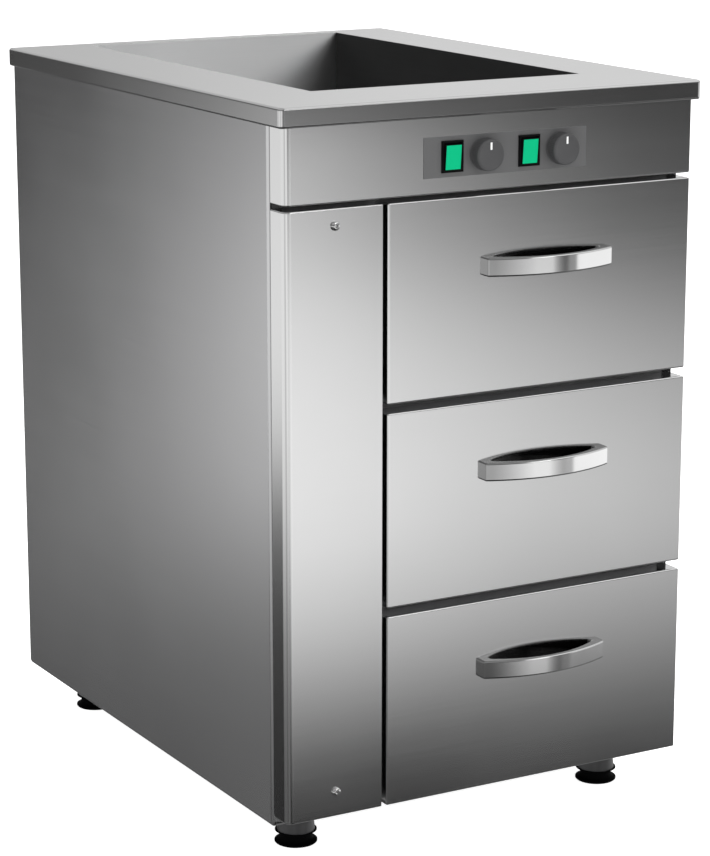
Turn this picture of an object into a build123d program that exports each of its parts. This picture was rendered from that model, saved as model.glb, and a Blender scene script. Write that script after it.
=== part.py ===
from build123d import *
import os
from math import cos, radians, sin

os.makedirs("parts", exist_ok=True)

# Bain marie cabinet in millimetres: +X to the right, +Y to the back, +Z up.
# The origin is on the floor, below the middle of the whole object.

# Worktop, folded from sheet
total_height = 850
worktop_width = 540
worktop_depth = 720
worktop_edge = 22
worktop_sheet = 2
worktop_corner_radius = 6
worktop_edge_radius = 3
worktop_lower_radius = 2.6

# Well in the worktop, given by the rims around it
rim_left = 102.5
rim_right = 86.5
rim_front = 120
rim_back = 30
well_depth = 160
tank_sheet = 1.2

# Heater, insulation and tray under the tank
heater_width = 12
heater_height = 8
heater_passes = 6
heater_margin = 45
insulation_thickness = 20
tray_sheet = 1
tray_lap = 36

# Drain with a lift-out standpipe
drain_from_left = 75
drain_from_back = 50
drain_flange_radius = 27
drain_flange_height = 2.5
drain_neck_radius = 17
drain_bore_radius = 13
drain_neck_length = 50
standpipe_wall = 2.5
standpipe_seat = 20
standpipe_rise = 105
standpipe_shoulder_radius = 18
standpipe_shoulder_height = 4
pull_bar_thickness = 4
pull_bar_height = 10
spigot_radius = 15
spigot_length = 30
spigot_floor_gap = 22

# Carcass
side_setback = 6
side_sheet = 1.2
side_flange = 14
side_fold_radius = 3
side_corner_radius = 6
side_drop = 11.9
back_setback = 2.5
back_sheet = 1
base_sheet = 1.2
base_flange = 10
base_rise = 5
partition_sheet = 1.2
partition_flange = 22
partition_lap = 4
partition_drop = 8
notch_clearance = 3
top_rail_sheet = 1.2
top_rail_height = 32
top_rail_depth = 20
cross_rail_sheet = 1.2
cross_rail_height = 26
cross_rail_depth = 10
cross_rail_lap = 8
post_sheet = 1.5
post_width = 40
post_clearance = 1
post_inset = 15
back_screws_per_side = 4
back_screw_margin = 60
back_screw_radius = 1.75
back_screw_length = 6
back_screw_head_radius = 3.5
back_screw_head_height = 1.8

# Box-folded fronts
front_setback = 5.5
front_left_setback = 6.7
front_right_setback = 11.3
front_depth = 30
front_sheet = 1.2
corner_fold_radius = 8.5
inner_fold_radius = 2.5
edge_radius = 1.8
fascia_drop = 105
fascia_top_gap = 3.5
fascia_gap = 5.3
column_width = 120
column_gap = 6.4
cover_screw_from_left = 61.5
cover_screw_top = 18.7
cover_screw_bottom = 29.1
cover_screw_radius = 3
cover_screw_head_radius = 5.25
cover_screw_head_height = 3.3
cover_screw_dome = 2.6
cover_screw_socket = 2
cover_screw_socket_depth = 2
cover_screw_length = 14
bracket_sheet = 1.5
bracket_height = 34
bracket_side_gap = 2

# Drawers, which share the height between the fascia and the gap above the floor
drawer_count = 3
drawer_floor_gap = 57.3
drawer_gap = 9.9
drawer_running_gap = 1
liner_sheet = 1
box_sheet = 1
box_length = 560
box_rise = 14
box_headroom = 22
top_box_clearance = 15

# Drawer runners: nested channels
rail_height = 45
rail_thickness = 12.7
rail_sheet = 1.2
rail_clearance = 0.3
rail_length = 550
rail_setback = 3
rail_rise = 25
fixed_rail_depth = 8
middle_rail_depth = 9.5

# Bow handles
handle_length = 164
handle_height = 21
handle_projection = 28
handle_band = 6
handle_leg = 9
handle_foot = 14
handle_end_gap = 3
handle_corner_radius = 2.5
handle_edge_radius = 2
handle_rise = 31.5
handle_offset = 5.8
handle_screw_pitch = 150
handle_screw_radius = 2
handle_screw_head_radius = 4
handle_screw_head_height = 2.6
handle_screw_grip = 6

# Controls
control_drop = 65
plate_from_left = 177
plate_width = 209.5
plate_height = 44.5
plate_thickness = 0.6
first_switch_inset = 35.5
control_pitch = 98.5
knob_offset = 40.6
bezel_width = 27.2
bezel_height = 34.5
bezel_thickness = 2.2
bezel_edge_radius = 0.8
switch_wall = 1.2
switch_width = 25
switch_height = 32.4
switch_depth = 28
switch_pocket = 16
rocker_width = 21.8
rocker_height = 28
rocker_reach = 9.2
rocker_back = 4
rocker_edge_radius = 1
rocker_tilt = 5
pivot_depth = 6
pivot_radius = 1.5
pivot_tip_gap = 0.3
knob_radius = 18
knob_depth = 14.5
knob_gap = 0.8
knob_edge_radius = 1.2
pointer_width = 2.4
pointer_length = 9.5
pointer_inset = 1.5
pointer_groove = 0.5
spindle_radius = 3
spindle_grip = 9
thermostat_flange = 34
thermostat_flange_thickness = 2
thermostat_radius = 16
thermostat_length = 26
thermostat_bore_depth = 20

# Mains connection in the service column
terminal_length = 84
terminal_height = 30
terminal_depth = 24
terminal_count = 6
terminal_hole_radius = 3
terminal_hole_depth = 8
terminal_from_front = 240
terminal_above_base = 150
gland_from_left = 69.5
gland_from_back = 170
gland_thread_radius = 10
gland_bore_radius = 5.5
gland_hex_radius = 15
gland_hex_height = 8
gland_nut_height = 5
gland_dome_radius = 12
gland_dome_tip_radius = 9
gland_dome_height = 14

# Heater behind the drawers
air_heater_radius = 4.2
air_heater_bend = 25
air_heater_standoff = 34
air_heater_width = 230
air_heater_height = 380
air_heater_above_base = 70
air_heater_from_right = 45
air_heater_bush_radius = 9
air_heater_bush_length = 6

# Feet and their collars
foot_from_side = 63.5
foot_from_front = 91
foot_from_back = 82
foot_base_radius = 24.5
foot_base_height = 2.5
foot_base_round = 1
foot_waist_radius = 18.5
foot_flange_radius = 24
foot_flange_height = 14.4
foot_height = 15.2
foot_rim = 0.8
foot_cup_floor = 14.6
stem_radius = 5
stem_length = 33
collar_bottom_radius = 22
collar_top_radius = 20.6
collar_taper = 12
collar_wall = 2
collar_plate = 8

# Clearances between pieces
foot_gap = 0.4
running_clearance = 0.05
hole_clearance = 0.3
screw_clearance = 0.1
through = 1

# Planes and edges that several pieces share
half_width = worktop_width / 2
under_top_z = total_height - worktop_sheet
front_reach = handle_projection - front_setback
front_edge_y = (front_reach - worktop_depth) / 2
back_edge_y = front_edge_y + worktop_depth
middle_y = (front_edge_y + back_edge_y) / 2

front_face_y = front_edge_y + front_setback
front_skin_y = front_face_y + front_sheet
carcass_front_y = front_face_y + front_depth
carcass_back_y = back_edge_y - back_setback
back_outer_y = carcass_back_y - side_sheet
back_inner_y = back_outer_y - back_sheet

side_outer_x = half_width - side_setback
side_inner_x = side_outer_x - side_sheet
flange_inner_x = side_outer_x - side_flange

fascia_bottom_z = total_height - fascia_drop
fascia_top_z = under_top_z - fascia_top_gap
fronts_top_z = fascia_bottom_z - fascia_gap
fronts_bottom_z = drawer_floor_gap
drawer_step = (fronts_top_z + drawer_gap - fronts_bottom_z) / drawer_count
drawer_height = drawer_step - drawer_gap
drawer_bottoms = [fronts_top_z - drawer_height - i * drawer_step for i in range(drawer_count)]
side_bottom_z = fronts_bottom_z - side_drop
base_top_z = fronts_bottom_z + base_rise
base_under_z = base_top_z - base_sheet

column_left_x = front_left_setback - half_width
column_right_x = column_left_x + column_width
drawer_left_x = column_right_x + column_gap
drawer_right_x = half_width - front_right_setback
partition_x = drawer_left_x + partition_lap
post_x = flange_inner_x - post_clearance

well_left_x = rim_left - half_width
well_right_x = half_width - rim_right
well_front_y = front_edge_y + rim_front
well_back_y = back_edge_y - rim_back
well_floor_z = total_height - well_depth
tank_under_z = well_floor_z - tank_sheet
heater_under_z = tank_under_z - heater_height
tray_floor_z = heater_under_z - insulation_thickness
tray_under_z = tray_floor_z - tray_sheet
drain_x = well_left_x + drain_from_left
drain_y = well_back_y - drain_from_back

box_left_x = partition_x + rail_thickness
box_right_x = post_x - rail_thickness
drawer_tray_depth = front_depth - drawer_running_gap - liner_sheet
liner_y = front_face_y + drawer_tray_depth
box_front_y = liner_y + liner_sheet
rail_start_y = carcass_front_y + rail_setback
partition_top_z = fronts_top_z - partition_drop
partition_notch_z = tray_under_z - notch_clearance
partition_notch_y = well_front_y - tank_sheet - tray_sheet - notch_clearance

control_z = total_height - control_drop
plate_left_x = plate_from_left - half_width
plate_face_y = front_face_y - plate_thickness
bezel_face_y = plate_face_y - bezel_thickness
switch_centres = [plate_left_x + first_switch_inset + i * control_pitch for i in range(2)]
knob_centres = [x + knob_offset for x in switch_centres]
control_names = ["well", "drawer"]

low_corner = (Align.MIN, Align.MIN, Align.MIN)
on_base = (Align.CENTER, Align.CENTER, Align.MIN)


def save(piece, name):
    """Labels a finished piece and writes it to its own file."""
    piece.part.label = name
    export_step(piece.part, f"parts/{name}.step")


def block(low, high, mode=Mode.ADD):
    """A box between two opposite corners."""
    size = [high[i] - low[i] for i in range(3)]
    with Locations(low):
        Box(*size, align=low_corner, mode=mode)


def rod(start, end, radius, mode=Mode.ADD):
    """A round bar, or a round hole, from one point to another."""
    along = Vector(end) - Vector(start)
    with Locations(Plane(origin=start, z_dir=along)):
        Cylinder(radius, along.length, align=on_base, mode=mode)


def upright_plane(x, y):
    """The vertical plane through an upright axis, for a profile of radius and height."""
    return Plane(origin=(x, y, 0), x_dir=(1, 0, 0), z_dir=(0, -1, 0))


def folded_front(left_x, right_x, bottom_z, top_z, depth, left_radius, right_radius):
    """A front panel: a shallow tray folded from sheet, open at the back."""
    width = right_x - left_x
    centre_x = (left_x + right_x) / 2
    height = top_z - bottom_z
    with BuildPart() as tray:
        with BuildSketch(Plane.XY.offset(bottom_z)) as outline:
            with Locations((centre_x, front_face_y + depth / 2)):
                Rectangle(width, depth)
            left_corner, right_corner = outline.vertices().group_by(Axis.Y)[0].sort_by(Axis.X)
            fillet(left_corner, left_radius)
            fillet(right_corner, right_radius)
        extrude(amount=height)
        back_edges = tray.edges().group_by(Axis.Y)[-1]
        fillet(tray.faces().filter_by(Axis.Z).edges() - back_edges, edge_radius)
        with BuildSketch(Plane.XY.offset(bottom_z + front_sheet)) as hollow:
            with Locations((centre_x, front_skin_y + depth / 2)):
                Rectangle(width - 2 * front_sheet, depth)
            left_corner, right_corner = hollow.vertices().group_by(Axis.Y)[0].sort_by(Axis.X)
            fillet(left_corner, left_radius - front_sheet)
            fillet(right_corner, right_radius - front_sheet)
        extrude(amount=height - 2 * front_sheet, mode=Mode.SUBTRACT)
    return tray.part


def side_panel(side):
    """A side panel: a shallow tray open to the inside, its lower corners rounded."""
    depth = carcass_back_y - carcass_front_y
    height = under_top_z - side_bottom_z
    centre = ((carcass_front_y + carcass_back_y) / 2, (side_bottom_z + under_top_z) / 2)
    with BuildPart() as panel:
        with BuildSketch(Plane.YZ.offset(side * side_outer_x)) as outline:
            with Locations(centre):
                Rectangle(depth, height)
            fillet(outline.vertices().group_by(Axis.Y)[0], side_corner_radius)
        extrude(amount=-side * side_flange)
        outside = panel.faces().sort_by(Axis((0, 0, 0), (side, 0, 0)))[-1]
        fillet(outside.edges() - outside.edges().group_by(Axis.Z)[-1], side_fold_radius)
        with BuildSketch(Plane.YZ.offset(side * side_inner_x)) as hollow:
            with Locations(centre):
                Rectangle(depth - 2 * side_sheet, height - 2 * side_sheet)
            fillet(hollow.vertices().group_by(Axis.Y)[0], side_corner_radius - side_sheet)
        extrude(amount=-side * side_flange, mode=Mode.SUBTRACT)
        for x, z in back_screw_places:
            if x * side > 0:
                rod(
                    (x, back_outer_y - through, z),
                    (x, carcass_back_y + through, z),
                    back_screw_radius + screw_clearance,
                    Mode.SUBTRACT,
                )
    return panel


def channel(wall_x, facing, web, depth, half_height, centre_z):
    """One runner member: a channel that lies along the drawer and opens towards facing."""
    with BuildSketch(Plane.XZ.offset(-rail_start_y)) as section:
        with Locations((wall_x + facing * (web + depth / 2), centre_z)):
            Rectangle(depth, 2 * half_height)
        with Locations((wall_x + facing * (web + rail_sheet + depth / 2), centre_z)):
            Rectangle(depth, 2 * (half_height - rail_sheet), mode=Mode.SUBTRACT)
    extrude(section.sketch, amount=-rail_length)


# Screws that hold the back panel to the side panels' rear flanges
back_screw_x = side_outer_x - side_flange / 2
back_screw_low_z = side_bottom_z + back_screw_margin
back_screw_high_z = under_top_z - back_screw_margin
back_screw_step = (back_screw_high_z - back_screw_low_z) / (back_screws_per_side - 1)
back_screw_places = [
    (side * back_screw_x, back_screw_low_z + i * back_screw_step)
    for side in (-1, 1)
    for i in range(back_screws_per_side)
]

# Worktop: its edge is folded down all round, and it is cut out to take the tank's walls
with BuildPart() as worktop:
    with BuildSketch(Plane.XY.offset(total_height - worktop_edge)):
        with Locations((0, middle_y)):
            RectangleRounded(worktop_width, worktop_depth, worktop_corner_radius)
    extrude(amount=worktop_edge)
    fillet(worktop.faces().sort_by(Axis.Z)[-1].edges(), worktop_edge_radius)
    fillet(worktop.faces().sort_by(Axis.Z)[0].edges(), worktop_lower_radius)
    with BuildSketch(Plane.XY.offset(total_height - worktop_edge)):
        with Locations((0, middle_y)):
            inner_width = worktop_width - 2 * worktop_sheet
            inner_depth = worktop_depth - 2 * worktop_sheet
            RectangleRounded(inner_width, inner_depth, worktop_corner_radius - worktop_sheet)
    extrude(amount=worktop_edge - worktop_sheet, mode=Mode.SUBTRACT)
    block(
        (well_left_x - tank_sheet, well_front_y - tank_sheet, under_top_z - through),
        (well_right_x + tank_sheet, well_back_y + tank_sheet, total_height + through),
        Mode.SUBTRACT,
    )
save(worktop, "worktop")

# Well tank: an open box whose walls are welded flush into the cut-out
with BuildPart() as well_tank:
    block(
        (well_left_x - tank_sheet, well_front_y - tank_sheet, tank_under_z),
        (well_right_x + tank_sheet, well_back_y + tank_sheet, total_height),
    )
    block(
        (well_left_x, well_front_y, well_floor_z),
        (well_right_x, well_back_y, total_height),
        Mode.SUBTRACT,
    )
    rod(
        (drain_x, drain_y, tank_under_z - through),
        (drain_x, drain_y, well_floor_z + through),
        drain_neck_radius + screw_clearance,
        Mode.SUBTRACT,
    )
save(well_tank, "well_tank")

# Heater: a flat tube that runs to and fro against the tank's floor, short of the drain
heater_left_x = well_left_x + heater_margin
heater_pitch = (well_right_x - well_left_x - 2 * heater_margin) / (heater_passes - 1)
heater_front_y = well_front_y + heater_margin
heater_back_y = drain_y - drain_flange_radius - heater_margin
heater_z = tank_under_z - heater_height / 2
heater_route = []
for i in range(heater_passes):
    ends = [heater_front_y, heater_back_y] if i % 2 == 0 else [heater_back_y, heater_front_y]
    heater_route += [(heater_left_x + i * heater_pitch, y, heater_z) for y in ends]
heater_bend = 0.45 * heater_pitch
with BuildPart() as tank_heater:
    with BuildLine():
        FilletPolyline(*heater_route, radius=heater_bend)
    with BuildSketch(Plane(origin=heater_route[0], x_dir=(1, 0, 0), z_dir=(0, 1, 0))):
        Rectangle(heater_width, heater_height)
    sweep()
save(tank_heater, "tank_heater")

# Tray and insulation that close the heater in from below
tray_low = (well_left_x - tank_sheet, well_front_y - tank_sheet)
tray_high = (well_right_x + tank_sheet, well_back_y + tank_sheet)
with BuildPart() as heater_tray:
    block(
        (tray_low[0] - tray_sheet, tray_low[1] - tray_sheet, tray_under_z),
        (tray_high[0] + tray_sheet, tray_high[1] + tray_sheet, tank_under_z + tray_lap),
    )
    block((*tray_low, tray_floor_z), (*tray_high, tank_under_z + tray_lap), Mode.SUBTRACT)
    rod(
        (drain_x, drain_y, tray_under_z - through),
        (drain_x, drain_y, tray_floor_z + through),
        drain_neck_radius + hole_clearance,
        Mode.SUBTRACT,
    )
save(heater_tray, "heater_tray")

with BuildPart() as tank_insulation:
    block((*tray_low, tray_floor_z), (*tray_high, heater_under_z))
    rod(
        (drain_x, drain_y, tray_floor_z - through),
        (drain_x, drain_y, heater_under_z + through),
        drain_neck_radius + hole_clearance,
        Mode.SUBTRACT,
    )
save(tank_insulation, "tank_insulation")

# Drain: a flanged socket in the tank's floor, the standpipe that plugs it, and the pipe below
socket_under_z = well_floor_z - drain_neck_length
socket_top_z = well_floor_z + drain_flange_height
with BuildPart() as drain_socket:
    rod((drain_x, drain_y, socket_under_z), (drain_x, drain_y, well_floor_z), drain_neck_radius)
    rod((drain_x, drain_y, well_floor_z), (drain_x, drain_y, socket_top_z), drain_flange_radius)
    rod(
        (drain_x, drain_y, socket_under_z - through),
        (drain_x, drain_y, socket_top_z + through),
        drain_bore_radius,
        Mode.SUBTRACT,
    )
save(drain_socket, "drain_socket")

standpipe_radius = drain_bore_radius - running_clearance
standpipe_under_z = socket_top_z - standpipe_seat
standpipe_top_z = well_floor_z + standpipe_rise
with BuildPart() as standpipe:
    rod((drain_x, drain_y, standpipe_under_z), (drain_x, drain_y, standpipe_top_z), standpipe_radius)
    rod(
        (drain_x, drain_y, socket_top_z),
        (drain_x, drain_y, socket_top_z + standpipe_shoulder_height),
        standpipe_shoulder_radius,
    )
    rod(
        (drain_x, drain_y, standpipe_under_z - through),
        (drain_x, drain_y, standpipe_top_z + through),
        standpipe_radius - standpipe_wall,
        Mode.SUBTRACT,
    )
    pull_half_length = standpipe_radius - standpipe_wall / 2
    block(
        (drain_x - pull_half_length, drain_y - pull_bar_thickness / 2, standpipe_top_z - pull_bar_height),
        (drain_x + pull_half_length, drain_y + pull_bar_thickness / 2, standpipe_top_z),
    )
save(standpipe, "standpipe")

spigot_top_z = spigot_floor_gap + spigot_length
with BuildPart() as drain_pipe:
    rod((drain_x, drain_y, spigot_top_z), (drain_x, drain_y, socket_under_z), drain_neck_radius)
    rod((drain_x, drain_y, spigot_floor_gap), (drain_x, drain_y, spigot_top_z), spigot_radius)
    rod(
        (drain_x, drain_y, spigot_floor_gap - through),
        (drain_x, drain_y, socket_under_z + through),
        drain_bore_radius,
        Mode.SUBTRACT,
    )
save(drain_pipe, "drain_pipe")

# Side panels
left_side_panel = side_panel(-1)
save(left_side_panel, "left_side_panel")
right_side_panel = side_panel(1)
save(right_side_panel, "right_side_panel")

# Back panel inside the rear flanges, and its screws
with BuildPart() as back_panel:
    block(
        (-side_inner_x, back_inner_y, base_top_z - base_flange),
        (side_inner_x, back_outer_y, under_top_z - side_sheet),
    )
    for x, z in back_screw_places:
        hole_radius = back_screw_radius + screw_clearance
        rod((x, back_inner_y - through, z), (x, back_outer_y + through, z), hole_radius, Mode.SUBTRACT)
save(back_panel, "back_panel")

with BuildPart() as back_panel_screws:
    for x, z in back_screw_places:
        rod((x, carcass_back_y - back_screw_length, z), (x, carcass_back_y, z), back_screw_radius)
        head_y = carcass_back_y + back_screw_head_height
        rod((x, carcass_back_y, z), (x, head_y, z), back_screw_head_radius)
save(back_panel_screws, "back_panel_screws")

# Base: a tray with its edges turned down, with holes for the drain and the cable
gland_x = gland_from_left - half_width
gland_y = back_edge_y - gland_from_back
base_front_y = carcass_front_y + side_sheet
with BuildPart() as base_panel:
    block((-side_inner_x, base_front_y, base_top_z - base_flange), (side_inner_x, back_inner_y, base_top_z))
    block(
        (base_sheet - side_inner_x, base_front_y + base_sheet, base_top_z - base_flange),
        (side_inner_x - base_sheet, back_inner_y - base_sheet, base_under_z),
        Mode.SUBTRACT,
    )
    for x, y, radius in ((drain_x, drain_y, drain_neck_radius), (gland_x, gland_y, gland_thread_radius)):
        low = (x, y, base_under_z - through)
        rod(low, (x, y, base_top_z + through), radius + hole_clearance, Mode.SUBTRACT)
save(base_panel, "base_panel")

# Partition between the service column and the drawers, notched under the tank
with BuildPart() as partition:
    with BuildSketch(Plane.YZ.offset(partition_x)):
        with BuildLine():
            Polyline(
                (carcass_front_y, base_top_z),
                (back_inner_y, base_top_z),
                (back_inner_y, partition_notch_z),
                (partition_notch_y, partition_notch_z),
                (partition_notch_y, partition_top_z),
                (carcass_front_y, partition_top_z),
                close=True,
            )
        make_face()
    extrude(amount=-partition_sheet)
    block(
        (partition_x - partition_flange, carcass_front_y, base_top_z),
        (partition_x, carcass_front_y + partition_sheet, partition_top_z),
    )
save(partition, "partition")

# Front rails: a top rail, and cross rails behind the gaps between the fronts
rail_top_z = under_top_z - side_sheet
cross_rail_y = carcass_front_y + side_sheet
cross_rail_right_x = flange_inner_x + cross_rail_lap
cross_rail_starts = [(-cross_rail_right_x, partition_top_z)]
for bottom_z in drawer_bottoms[:-1]:
    cross_rail_starts.append((partition_x, bottom_z - (drawer_gap + cross_rail_height) / 2))
with BuildPart() as front_rails:
    block(
        (-side_inner_x, base_front_y, rail_top_z - top_rail_height),
        (side_inner_x, base_front_y + top_rail_sheet, rail_top_z),
    )
    block(
        (-side_inner_x, base_front_y, rail_top_z - top_rail_sheet),
        (side_inner_x, base_front_y + top_rail_depth, rail_top_z),
    )
    for left_x, low_z in cross_rail_starts:
        high_z = low_z + cross_rail_height
        block(
            (left_x, cross_rail_y, low_z),
            (cross_rail_right_x, cross_rail_y + cross_rail_sheet, high_z),
        )
        block(
            (left_x, cross_rail_y, high_z - cross_rail_sheet),
            (cross_rail_right_x, cross_rail_y + cross_rail_depth, high_z),
        )
save(front_rails, "front_rails")

# Posts on the right side panel that carry the right-hand runners
post_starts = [rail_start_y + post_inset, rail_start_y + rail_length - post_inset - post_width]
with BuildPart() as right_rail_posts:
    for post_y in post_starts:
        block((post_x, post_y, base_top_z), (side_inner_x, post_y + post_width, partition_notch_z))
        block(
            (post_x + post_sheet, post_y + post_sheet, base_top_z),
            (side_inner_x, post_y + post_width - post_sheet, partition_notch_z),
            Mode.SUBTRACT,
        )
save(right_rail_posts, "right_rail_posts")

# Control fascia, cut out for the switches and the thermostat spindles
with BuildPart() as control_fascia:
    add(
        folded_front(
            column_left_x,
            drawer_right_x,
            fascia_bottom_z,
            fascia_top_z,
            front_depth,
            corner_fold_radius,
            corner_fold_radius,
        )
    )
    for x in switch_centres:
        half_cut_x = switch_width / 2 + hole_clearance
        half_cut_z = switch_height / 2 + hole_clearance
        block(
            (x - half_cut_x, front_face_y - through, control_z - half_cut_z),
            (x + half_cut_x, front_skin_y + through, control_z + half_cut_z),
            Mode.SUBTRACT,
        )
    for x in knob_centres:
        hole_radius = spindle_radius + hole_clearance
        rod(
            (x, front_face_y - through, control_z),
            (x, front_skin_y + through, control_z),
            hole_radius,
            Mode.SUBTRACT,
        )
save(control_fascia, "control_fascia")

# Plate on the fascia around the controls
with BuildPart() as control_plate:
    block(
        (plate_left_x, plate_face_y, control_z - plate_height / 2),
        (plate_left_x + plate_width, front_face_y, control_z + plate_height / 2),
    )
    for x in switch_centres:
        half_cut_x = switch_width / 2 + hole_clearance
        half_cut_z = switch_height / 2 + hole_clearance
        block(
            (x - half_cut_x, plate_face_y - through, control_z - half_cut_z),
            (x + half_cut_x, front_face_y + through, control_z + half_cut_z),
            Mode.SUBTRACT,
        )
    for x in knob_centres:
        hole_radius = spindle_radius + hole_clearance
        rod(
            (x, plate_face_y - through, control_z),
            (x, front_face_y + through, control_z),
            hole_radius,
            Mode.SUBTRACT,
        )
save(control_plate, "control_plate")

# Switches: a housing with a bezel, and a rocker on two stub pins, tipped with its top out
pivot_y = bezel_face_y + pivot_depth
pocket_half_x = switch_width / 2 - switch_wall
pocket_half_z = switch_height / 2 - switch_wall
tilt = radians(rocker_tilt)
for name, x in zip(control_names, switch_centres):
    with BuildPart() as switch_housing:
        block(
            (x - bezel_width / 2, bezel_face_y, control_z - bezel_height / 2),
            (x + bezel_width / 2, plate_face_y, control_z + bezel_height / 2),
        )
        fillet(switch_housing.faces().sort_by(Axis.Y)[0].edges(), bezel_edge_radius)
        block(
            (x - switch_width / 2, plate_face_y, control_z - switch_height / 2),
            (x + switch_width / 2, plate_face_y + switch_depth, control_z + switch_height / 2),
        )
        block(
            (x - pocket_half_x, bezel_face_y, control_z - pocket_half_z),
            (x + pocket_half_x, bezel_face_y + switch_pocket, control_z + pocket_half_z),
            Mode.SUBTRACT,
        )
        rod(
            (x - switch_width / 2, pivot_y, control_z),
            (x + switch_width / 2, pivot_y, control_z),
            pivot_radius + running_clearance,
            Mode.SUBTRACT,
        )
    save(switch_housing, f"{name}_switch_housing")

    outward = (0, -cos(tilt), -sin(tilt))
    rocker_plane = Plane(origin=(x, pivot_y, control_z), x_dir=outward, z_dir=(1, 0, 0))
    pin_half_length = switch_width / 2 - pivot_tip_gap
    with BuildPart() as switch_rocker:
        with BuildSketch(rocker_plane):
            with Locations(((rocker_reach - rocker_back) / 2, 0)):
                Rectangle(rocker_reach + rocker_back, rocker_height)
        extrude(amount=rocker_width / 2, both=True)
        face = switch_rocker.faces().sort_by(Axis((0, 0, 0), outward))[-1]
        fillet(face.edges(), rocker_edge_radius)
        pin_start = (x - pin_half_length, pivot_y, control_z)
        rod(pin_start, (x + pin_half_length, pivot_y, control_z), pivot_radius)
    save(switch_rocker, f"{name}_switch_rocker")

# Thermostats behind the fascia, each with a spindle and a knob in front
knob_back_y = plate_face_y - knob_gap
knob_front_y = knob_back_y - knob_depth
thermostat_back_y = front_skin_y + thermostat_flange_thickness + thermostat_length
spindle_back_y = front_skin_y + thermostat_bore_depth - running_clearance
for name, x in zip(control_names, knob_centres):
    with BuildPart() as thermostat:
        half_flange = thermostat_flange / 2
        flange_back_y = front_skin_y + thermostat_flange_thickness
        block(
            (x - half_flange, front_skin_y, control_z - half_flange),
            (x + half_flange, flange_back_y, control_z + half_flange),
        )
        rod((x, flange_back_y, control_z), (x, thermostat_back_y, control_z), thermostat_radius)
        rod(
            (x, front_skin_y, control_z),
            (x, front_skin_y + thermostat_bore_depth, control_z),
            spindle_radius + running_clearance,
            Mode.SUBTRACT,
        )
    save(thermostat, f"{name}_thermostat")

    with BuildPart() as spindle:
        rod((x, knob_back_y - spindle_grip, control_z), (x, spindle_back_y, control_z), spindle_radius)
    save(spindle, f"{name}_spindle")

    with BuildPart() as knob:
        rod((x, knob_back_y, control_z), (x, knob_front_y, control_z), knob_radius)
        fillet(knob.faces().sort_by(Axis.Y)[0].edges(), knob_edge_radius)
        rod(
            (x, knob_back_y, control_z),
            (x, knob_back_y - spindle_grip, control_z),
            spindle_radius + running_clearance,
            Mode.SUBTRACT,
        )
        pointer_top_z = control_z + knob_radius - knob_edge_radius - pointer_inset
        block(
            (x - pointer_width / 2, knob_front_y, pointer_top_z - pointer_length),
            (x + pointer_width / 2, knob_front_y + pointer_groove, pointer_top_z),
            Mode.SUBTRACT,
        )
    save(knob, f"{name}_knob")

# Service column: terminal block on the left side panel, cable gland in the base
terminal_y = front_edge_y + terminal_from_front
terminal_z = base_top_z + terminal_above_base
terminal_step = terminal_length / terminal_count
with BuildPart() as terminal_block:
    block(
        (-side_inner_x, terminal_y, terminal_z),
        (terminal_depth - side_inner_x, terminal_y + terminal_length, terminal_z + terminal_height),
    )
    for i in range(terminal_count):
        hole_y = terminal_y + (i + 0.5) * terminal_step
        hole_z = terminal_z + terminal_height / 2
        mouth_x = terminal_depth - side_inner_x
        rod(
            (mouth_x - terminal_hole_depth, hole_y, hole_z),
            (mouth_x, hole_y, hole_z),
            terminal_hole_radius,
            Mode.SUBTRACT,
        )
save(terminal_block, "terminal_block")

gland_nut_top_z = base_top_z + gland_nut_height
gland_hex_under_z = base_under_z - gland_hex_height
gland_tip_z = gland_hex_under_z - gland_dome_height
with BuildPart() as cable_gland:
    with BuildSketch(Plane.XY.offset(base_top_z)):
        with Locations((gland_x, gland_y)):
            RegularPolygon(gland_hex_radius, 6)
    extrude(amount=gland_nut_height)
    with BuildSketch(Plane.XY.offset(base_under_z)):
        with Locations((gland_x, gland_y)):
            RegularPolygon(gland_hex_radius, 6)
    extrude(amount=-gland_hex_height)
    rod((gland_x, gland_y, base_under_z), (gland_x, gland_y, base_top_z), gland_thread_radius)
    with BuildSketch(upright_plane(gland_x, gland_y)):
        with BuildLine():
            Polyline(
                (0, gland_hex_under_z),
                (gland_dome_radius, gland_hex_under_z),
                (gland_dome_tip_radius, gland_tip_z),
                (0, gland_tip_z),
                close=True,
            )
        make_face()
    revolve(axis=Axis((gland_x, gland_y, 0), (0, 0, 1)))
    rod(
        (gland_x, gland_y, gland_tip_z - through),
        (gland_x, gland_y, gland_nut_top_z + through),
        gland_bore_radius,
        Mode.SUBTRACT,
    )
save(cable_gland, "cable_gland")

# Column cover, the brackets behind it and its screws
cover_screw_x = column_left_x + cover_screw_from_left
cover_screw_heights = [fronts_bottom_z + cover_screw_bottom, fronts_top_z - cover_screw_top]
with BuildPart() as column_cover:
    add(
        folded_front(
            column_left_x,
            column_right_x,
            fronts_bottom_z,
            fronts_top_z,
            front_depth,
            corner_fold_radius,
            inner_fold_radius,
        )
    )
    for z in cover_screw_heights:
        rod(
            (cover_screw_x, front_face_y - through, z),
            (cover_screw_x, front_skin_y + through, z),
            cover_screw_radius + hole_clearance,
            Mode.SUBTRACT,
        )
save(column_cover, "column_cover")

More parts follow.
